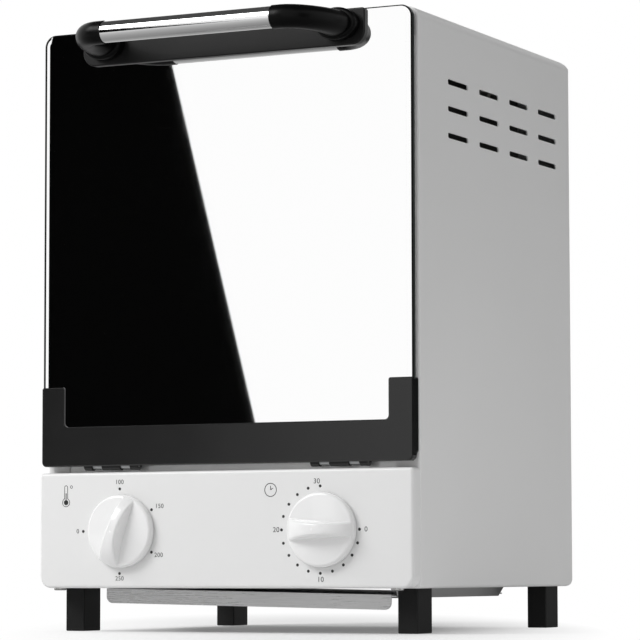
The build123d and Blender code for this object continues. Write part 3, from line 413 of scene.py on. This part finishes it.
dress(chrome, "handle_tube")
dress(strip_steel, "side_strip_left", "side_strip_right")
dress(frame_steel, "front_frame")
dress(tray_steel, "instrument_tray")
dress(crumb_steel, "crumb_tray")
dress(rail_steel, "rack_rail_left", "rack_rail_right", "tray_rail_left", "tray_rail_right")
dress(wire_chrome, "wire_rack", "hinge_pin_left", "hinge_pin_right")
dress(wire_chrome, "thermostat_shaft", "timer_shaft")
dress(zinc, "bottom_plate", "bulb_clips", "timer_bell")
dress(shield_painted_shade, "heat_shield")
dress(zinc, "hinge_bracket_left", "hinge_bracket_right")
dress(screw_zinc, "rear_screws", "panel_screws", "control_screws", "clamp_screws")
dress(screw_zinc, "hinge_screws", "handle_screws", "foot_screws")
dress(copper, "thermostat_bulb")
for level in ("upper", "lower"):
    for end in ("front", "rear"):
        dress(sheath, f"heater_{level}_{end}")
print("metals done")

# %% [markdown]
# The chamber is bright inside, where it is wiped; outside, painted shade makes it dark and dull,
# so that the vent slots in the case look dark. A wall's outer face points away from the chamber's
# middle, so the product of place and normal tells the two sides of the thin sheet apart.

# %% Make the chamber's sheet
liner_low, liner_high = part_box("oven_liner")
liner_metal_and_painted_shade, s = new_shade("chamber_sheet_painted_dark_outside")
from_middle = s.vector("SUBTRACT", s.place(), (liner_low + liner_high) / 2)
normal = s.node("ShaderNodeTexCoord", output="Normal")
outward = s.vector("DOT_PRODUCT", from_middle, normal, output="Value")
outer_face_painted_shade = outward > 0.0
lines = s.noise(60.0, 3.0, along_z)
inner = s.mix(lines, grey(0.55, (1.0, 0.99, 0.97)), grey(0.64, (1.0, 0.99, 0.97)))
s.skin(
    # Painted shade: the outer face is near black and dull in place of the shade inside the case.
    Base_Color=s.mix(outer_face_painted_shade, inner, grey(0.045, (1.0, 0.95, 0.9))),
    Metallic=1 - outer_face_painted_shade,
    Roughness=0.26 + 0.10 * lines + 0.4 * outer_face_painted_shade,
    Normal=s.bump(lines, 0.000004),
)
dress(liner_metal_and_painted_shade, "oven_liner")
print("chamber", [round(x, 3) for x in liner_high - liner_low])

# %% [markdown]
# ## Knobs, ceramic, phenolic and silicone
# The knobs are glossy white mouldings, a touch cooler than the paint around them. Inside, glazed
# ceramic bushes carry the heating rods, the two controls have dark phenolic bodies, and the leads
# wear pale silicone sleeves with a slightly rough surface.


# %% Make the other finishes
def moulding(name, color, roughness, grain_scale, grain_depth, coat=0.0):
    material, s = new_shade(name)
    drift = s.noise(40.0, 3.0)
    darker = tuple(c * 0.96 for c in color[:3]) + (1.0,)
    s.skin(
        Base_Color=s.mix(drift, darker, color),
        Roughness=roughness + 0.05 * (drift - 0.5),
        Normal=s.bump(s.noise(grain_scale, 2.0), grain_depth),
        Coat_Weight=coat,
        Coat_Roughness=0.05,
    )
    return material


knob_white = moulding("knob_gloss_white", grey(0.89), 0.10, 500.0, 0.000001)
glaze = moulding("glazed_ceramic", (0.84, 0.80, 0.73, 1.0), 0.18, 700.0, 0.000004, coat=0.3)
phenolic = moulding("phenolic_brown_black", (0.045, 0.038, 0.034, 1.0), 0.5, 900.0, 0.00001)
sleeve = moulding("silicone_sleeve", (0.72, 0.70, 0.66, 1.0), 0.55, 2200.0, 0.00003)
dress(knob_white, "temperature_knob", "timer_knob")
dress(glaze, "ceramic_bushes_left", "ceramic_bushes_right")
dress(phenolic, "thermostat_body", "timer_body", "terminal_block")
dress(sleeve, "heater_leads", "control_leads")
bare = [name for name, piece in nodes.items() if not piece.data.materials[0].use_nodes]
print("nodes without a finish:", bare)

# %% [markdown]
# ## The dial print
# The scales are screen printed: a film of ink a few hundredths of a millimetre thick. Numbers
# are text turned into a mesh, dots are small discs, and two plain symbols, a thermometer and a
# clock face, say which dial is which. The dots sit at clock angles on a ring around each knob.
# Numbers and symbols have places of their own, as X and Z of the front in millimetres.

# %% Helpers for the print
PRINT_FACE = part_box("control_panel")[0].y - 0.02 * MM
INK = 0.04 * MM
MARK_SIDES = 20
BAR_SWEEP = 12  # degrees of a ring that one straight bar stands for
FIGURE_SHARE = 0.7  # the height of a figure as a share of the text's size


def polar(centre, radius, clock):
    angle = math.radians(clock)
    return (centre[0] + radius * math.sin(angle), centre[1] + radius * math.cos(angle))


def flat_piece(bm, points):
    """A raised film of ink with the given outline in X and Z, in millimetres."""
    front = [bm.verts.new((x * MM, PRINT_FACE - INK, z * MM)) for x, z in points]
    back = [bm.verts.new((x * MM, PRINT_FACE, z * MM)) for x, z in points]
    bm.faces.new(front)
    bm.faces.new(back[::-1])
    for i, vert in enumerate(front):
        j = (i + 1) % len(front)
        bm.faces.new((vert, back[i], back[j], front[j]))


def disc(bm, centre, radius):
    step = 360 / MARK_SIDES
    flat_piece(bm, [polar(centre, radius, -i * step) for i in range(MARK_SIDES)])


def ring(bm, centre, radius, line, start=0.0, sweep=360.0):
    """A ring or an arc, as a chain of short bars that share their ends."""
    count = max(6, int(abs(sweep) / BAR_SWEEP))
    for i in range(count):
        a, b = start + sweep * i / count, start + sweep * (i + 1) / count
        outer, inner = radius + line / 2, radius - line / 2
        corners = [polar(centre, outer, a), polar(centre, inner, a)]
        corners += [polar(centre, inner, b), polar(centre, outer, b)]
        flat_piece(bm, corners)


def stroke(bm, start, end, line):
    (x0, z0), (x1, z1) = start, end
    length = math.hypot(x1 - x0, z1 - z0)
    nx, nz = -(z1 - z0) / length * line / 2, (x1 - x0) / length * line / 2
    corners = [(x0 + nx, z0 + nz), (x0 - nx, z0 - nz), (x1 - nx, z1 - nz), (x1 + nx, z1 + nz)]
    flat_piece(bm, corners)


def number(text, centre, height):
    """A printed number, centred on a point, as its own flat mesh."""
    curve = bpy.data.curves.new(f"number_{text}", "FONT")
    curve.body = text
    curve.size = height / FIGURE_SHARE * MM
    curve.extrude = INK / 2
    curve.align_x = "CENTER"
    curve.align_y = "CENTER"
    curve.space_character = 1.08
    piece = bpy.data.objects.new(curve.name, curve)
    bpy.context.scene.collection.objects.link(piece)
    bpy.context.view_layer.update()
    shaped = piece.evaluated_get(bpy.context.evaluated_depsgraph_get())
    mesh = bpy.data.meshes.new_from_object(shaped)
    bpy.data.objects.remove(piece)
    stand = Matrix.Rotation(math.radians(90), 4, "X")
    place = Matrix.Translation((centre[0] * MM, PRINT_FACE - INK / 2, centre[1] * MM))
    mesh.transform(place @ stand)
    return mesh


print("print face at y =", round(PRINT_FACE, 5))

# %% Print both dials
temperature_low, temperature_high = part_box("temperature_knob")
dial_z = (temperature_low.z + temperature_high.z) / 2 / MM
TEMPERATURE = (-66.2, dial_z)
TIMER = (62.9, dial_z)
RING_RADIUS = 24.3
DOT = 0.85
TIMER_DOTS = 16
TIMER_STEP = 18

marks = bmesh.new()
for clock in (0, 60, 120, 180, 270):
    disc(marks, polar(TEMPERATURE, RING_RADIUS, clock), DOT)
for i in range(TIMER_DOTS):
    disc(marks, polar(TIMER, RING_RADIUS, 90 + TIMER_STEP * i), DOT)

temperature_numbers = {
    "100": (-66.4, 86.0),
    "150": (-40.0, 71.9),
    "200": (-40.4, 44.0),
    "250": (-66.2, 30.6),
    "0": (-94.2, dial_z),
}
timer_numbers = {
    "30": (60.7, 84.8),
    "20": (35.2, dial_z),
    "10": (63.0, 30.0),
    "0": (91.2, dial_z),
}
for places, height in ((temperature_numbers, 2.5), (timer_numbers, 2.8)):
    for text, place in places.items():
        marks.from_mesh(number(text, place, height))
print("dots and numbers:", len(marks.faces), "faces")

# %% Draw the two symbols
THIN_LINE = 0.35
BULB = (-102.2, 74.6)
TUBE_LOW, TUBE_TOP = 76.6, 83.4
disc(marks, BULB, 1.5)
ring(marks, BULB, 2.4, THIN_LINE, 24, 312)
for x in (-103.2, -101.2):
    stroke(marks, (x, TUBE_LOW), (x, TUBE_TOP), THIN_LINE)
ring(marks, (BULB[0], TUBE_TOP), 1.0, THIN_LINE, -90, 180)
stroke(marks, (BULB[0], 75.0), (BULB[0], 80.0), 0.5)
ring(marks, (-98.6, 83.6), 0.75, 0.3)

CLOCK = (31.7, 80.3)
CLOCK_LINE = 0.4
ring(marks, CLOCK, 3.7, CLOCK_LINE)
for dx, dz in ((0.0, 2.3), (1.5, 1.0)):
    stroke(marks, CLOCK, (CLOCK[0] + dx, CLOCK[1] + dz), CLOCK_LINE)

print_mesh = bpy.data.meshes.new("dial_print")
marks.to_mesh(print_mesh)
marks.free()
dial_print = bpy.data.objects.new("dial_print", print_mesh)
bpy.context.scene.collection.objects.link(dial_print)
ink, s = new_shade("printing_ink")
cover = s.noise(900.0, 3.0)
s.skin(
    Base_Color=s.mix(cover, grey(0.004), grey(0.03)),
    Roughness=0.45 + 0.1 * cover,
    Normal=s.bump(cover, 0.000002),
)
print_mesh.materials.append(ink)
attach(dial_print, "housing")
print("dial print:", len(print_mesh.polygons), "faces")

# %% [markdown]
# ## The studio
# The floor is a plain pale sheet that runs out to white. One large soft lamp stands at the left
# front, so the front is bright, the right side falls to a middle grey, and the shade under the
# case stays soft. Three weak fills lift the right side, its foot and the back. Glossy pieces need
# something dark to reflect too: black cards stand around the oven, and a grey one hangs over it,
# where only reflections can see them. The slanted edge of the left card draws the black field in
# the door.

# %% Lay the floor
# The floor is lit paper close to the object and fades to plain white around it. Reflections see
# it as a glowing sheet, with painted shade that makes it darker close by and white far away.
FLOOR_HALF = 6.0
SHADE_ACROSS = 0.17
SHADE_ALONG = 0.62
SHADE_CENTRE = Vector((-0.03, 0.07, 0.0))
SHADE_THIN = 0.12
SHADE_FROM = 0.30
SHADE_SOFT = 0.75
FLOOR_DROP = 0.0002
GLOSS_PAINTED_SHADE = 0.85
GLOSS_PAINTED_SHADE_FALL = 0.72


def sheet(name, corners):
    mesh = bpy.data.meshes.new(name)
    mesh.from_pydata([tuple(c) for c in corners], [], [tuple(range(len(corners)))])
    piece = bpy.data.objects.new(name, mesh)
    bpy.context.scene.collection.objects.link(piece)
    return piece


def ray_kinds(s):
    """Two masks: 1 for rays from the camera, and 1 for rays that a gloss or a glass sends on."""
    camera_ray = s.node("ShaderNodeLightPath", output="Is Camera Ray")
    glossy = s.node("ShaderNodeLightPath", output="Is Glossy Ray")
    through = s.node("ShaderNodeLightPath", output="Is Transmission Ray")
    return camera_ray, (glossy + through).least(1.0)


corners = [(-1, -1), (1, -1), (1, 1), (-1, 1)]
floor = sheet("floor", [(x * FLOOR_HALF, y * FLOOR_HALF, -FLOOR_DROP) for x, y in corners])
floor_material, s = new_shade("pale_floor")
azimuth = math.radians(CAMERA_AZIMUTH)
across = (math.cos(azimuth) / SHADE_ACROSS, math.sin(azimuth) / SHADE_ACROSS, 0.0)
along = (-math.sin(azimuth) / SHADE_ALONG, math.cos(azimuth) / SHADE_ALONG, 0.0)
point = s.vector("SUBTRACT", s.place(), SHADE_CENTRE)
u = s.vector("DOT_PRODUCT", point, across, output="Value")
w = s.vector("DOT_PRODUCT", point, along, output="Value")
reach = (u * u + w * w) ** 0.5
fade = ((reach - SHADE_FROM) / SHADE_SOFT).most(SHADE_THIN).least(1.0)
# Painted shade: for reflections the floor glows less close to the oven, where it would be shaded.
distance = s.vector("LENGTH", s.place(), output="Value")
painted_shade_fall = s.node("ShaderNodeMath", {"operation": "EXPONENT"}, {0: distance * -GLOSS_PAINTED_SHADE_FALL})
floor_glow_painted_shade = 1.0 - GLOSS_PAINTED_SHADE * painted_shade_fall
camera_ray, sent_ray = ray_kinds(s)
paper = s.node("ShaderNodeBsdfDiffuse", None, {"Color": grey(0.9)})
lit = {"Color": grey(1.0), "Strength": camera_ray + sent_ray * floor_glow_painted_shade}
white = s.node("ShaderNodeEmission", None, lit)
whiter = camera_ray * fade + sent_ray
both = s.node("ShaderNodeMixShader", None, {0: whiter, 1: paper, 2: white})
s.node("ShaderNodeOutputMaterial", None, {"Surface": both}, output=None)
floor.data.materials.append(floor_material)
print("floor", 2 * FLOOR_HALF, "m wide")

# %% Hang the cards
CARD_REACH = 1.6
CARD_LOW, CARD_HIGH = 0.04, 0.74
CARD_TURN = math.radians(28.4)
mirror_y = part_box("door_glass")[0].y
card_black, s = new_shade("card_black")
s.skin(Base_Color=grey(0.002), Roughness=0.9, Specular_IOR_Level=0.0)


def card(name, corners):
    piece = sheet(name, corners)
    piece.data.materials.append(card_black)
    piece.visible_camera = False
    piece.visible_diffuse = False
    piece.visible_shadow = False
    return piece


def seen_in_door(eye, x, z):
    """The point, one reach past the door, that an eye sees mirrored at (x, z) of the glass."""
    point = Vector((x, mirror_y, z))
    ray = (point - eye).normalized()
    ray.y = -ray.y
    return point + ray * CARD_REACH


def slanted_card(name, eye, top, foot, toward, width):
    """A standing card whose edge shows in the door as the line from foot to top."""
    high, low = seen_in_door(eye, *top), seen_in_door(eye, *foot)
    slant = (high - low) / (high.z - low.z)
    low, high = low + slant * (CARD_LOW - low.z), low + slant * (CARD_HIGH - low.z)
    side = Vector((math.cos(toward), math.sin(toward), 0.0)) * width
    return card(name, [low, high, high + side, low + side])


def upright_card(name, bearing, reach, half_width, height):
    """A standing card at a bearing in degrees, counted from the right towards the back."""
    angle = math.radians(bearing)
    middle = Vector((math.cos(angle), math.sin(angle), 0.0)) * reach
    side = Vector((-math.sin(angle), math.cos(angle), 0.0)) * half_width
    up = Vector((0.0, 0.0, height))
    return card(name, [middle - side, middle + side, middle + side + up, middle - side + up])


# Top and foot are where the edge of the black field crosses the glass, as X and Z.
top, foot = (-34.0 * MM, 329.0 * MM), (21.0 * MM, 118.0 * MM)
left_turn = math.pi - CARD_TURN
slanted_card("left_card", camera.location, top, foot, left_turn, 0.95)
front_eye = Vector((0.0, -2.4, 0.17))
slanted_card("front_card", front_eye, (-0.045, 0.329), (0.035, 0.118), math.pi, 0.35)
upright_card("back_right_card", 60.0, 1.5, 0.5, 1.0)
upright_card("front_right_card", -27.0, 1.5, 0.3, 1.0)
TOP_HALF, TOP_FRONT, TOP_BACK, TOP_HEIGHT = 1.2, -0.89, 2.2, 1.6
top_front = [(x, TOP_FRONT, TOP_HEIGHT) for x in (-TOP_HALF, TOP_HALF)]
top_back = [(x, TOP_BACK, TOP_HEIGHT) for x in (TOP_HALF, -TOP_HALF)]
top_card = card("top_card", top_front + top_back)
card_grey, s = new_shade("card_grey")
TOP_GLOW = 0.07
glow = s.node("ShaderNodeEmission", None, {"Color": grey(1.0), "Strength": TOP_GLOW})
s.node("ShaderNodeOutputMaterial", None, {"Surface": glow}, output=None)
top_card.data.materials[0] = card_grey

# %% Light the scene
AMBIENT = 0.39
world = bpy.data.worlds.new("studio")
bpy.context.scene.world = world
s = Shade(world)
camera_ray, sent_ray = ray_kinds(s)
strength = AMBIENT + (1.0 - AMBIENT) * (camera_ray + sent_ray)
sky = s.node("ShaderNodeBackground", None, {"Color": grey(1.0), "Strength": strength})
s.node("ShaderNodeOutputWorld", None, {"Surface": sky}, output=None)


def lamp(name, place, target, width, height, power, glossy=True):
    data = bpy.data.lights.new(name, "AREA")
    data.shape = "RECTANGLE"
    data.size = width
    data.size_y = height
    data.energy = power
    piece = bpy.data.objects.new(name, data)
    bpy.context.scene.collection.objects.link(piece)
    piece.location = place
    piece.rotation_mode = "QUATERNION"
    piece.rotation_quaternion = (Vector(place) - Vector(target)).to_track_quat("Z", "Y")
    piece.visible_camera = False
    piece.visible_glossy = glossy
    return piece


# Each lamp: its place, the point it looks at, its width and height in metres, its power in watts.
middle = (0.0, 0.0, 0.17)
lamp("key", (-0.82, -1.02, 1.08), middle, 0.9, 0.7, 17.0)
lamp("side_fill", (1.1, 0.1, 0.1), (0.12, 0.02, 0.1), 0.9, 0.2, 0.35, glossy=False)
lamp("low_fill", (0.42, 0.03, 0.01), (0.12, 0.02, 0.02), 0.5, 0.04, 0.20, glossy=False)
lamp("rear_fill", (-0.7, 1.3, 0.9), middle, 1.0, 1.0, 5.0, glossy=False)

scene = bpy.context.scene
scene.view_settings.view_transform = "Standard"
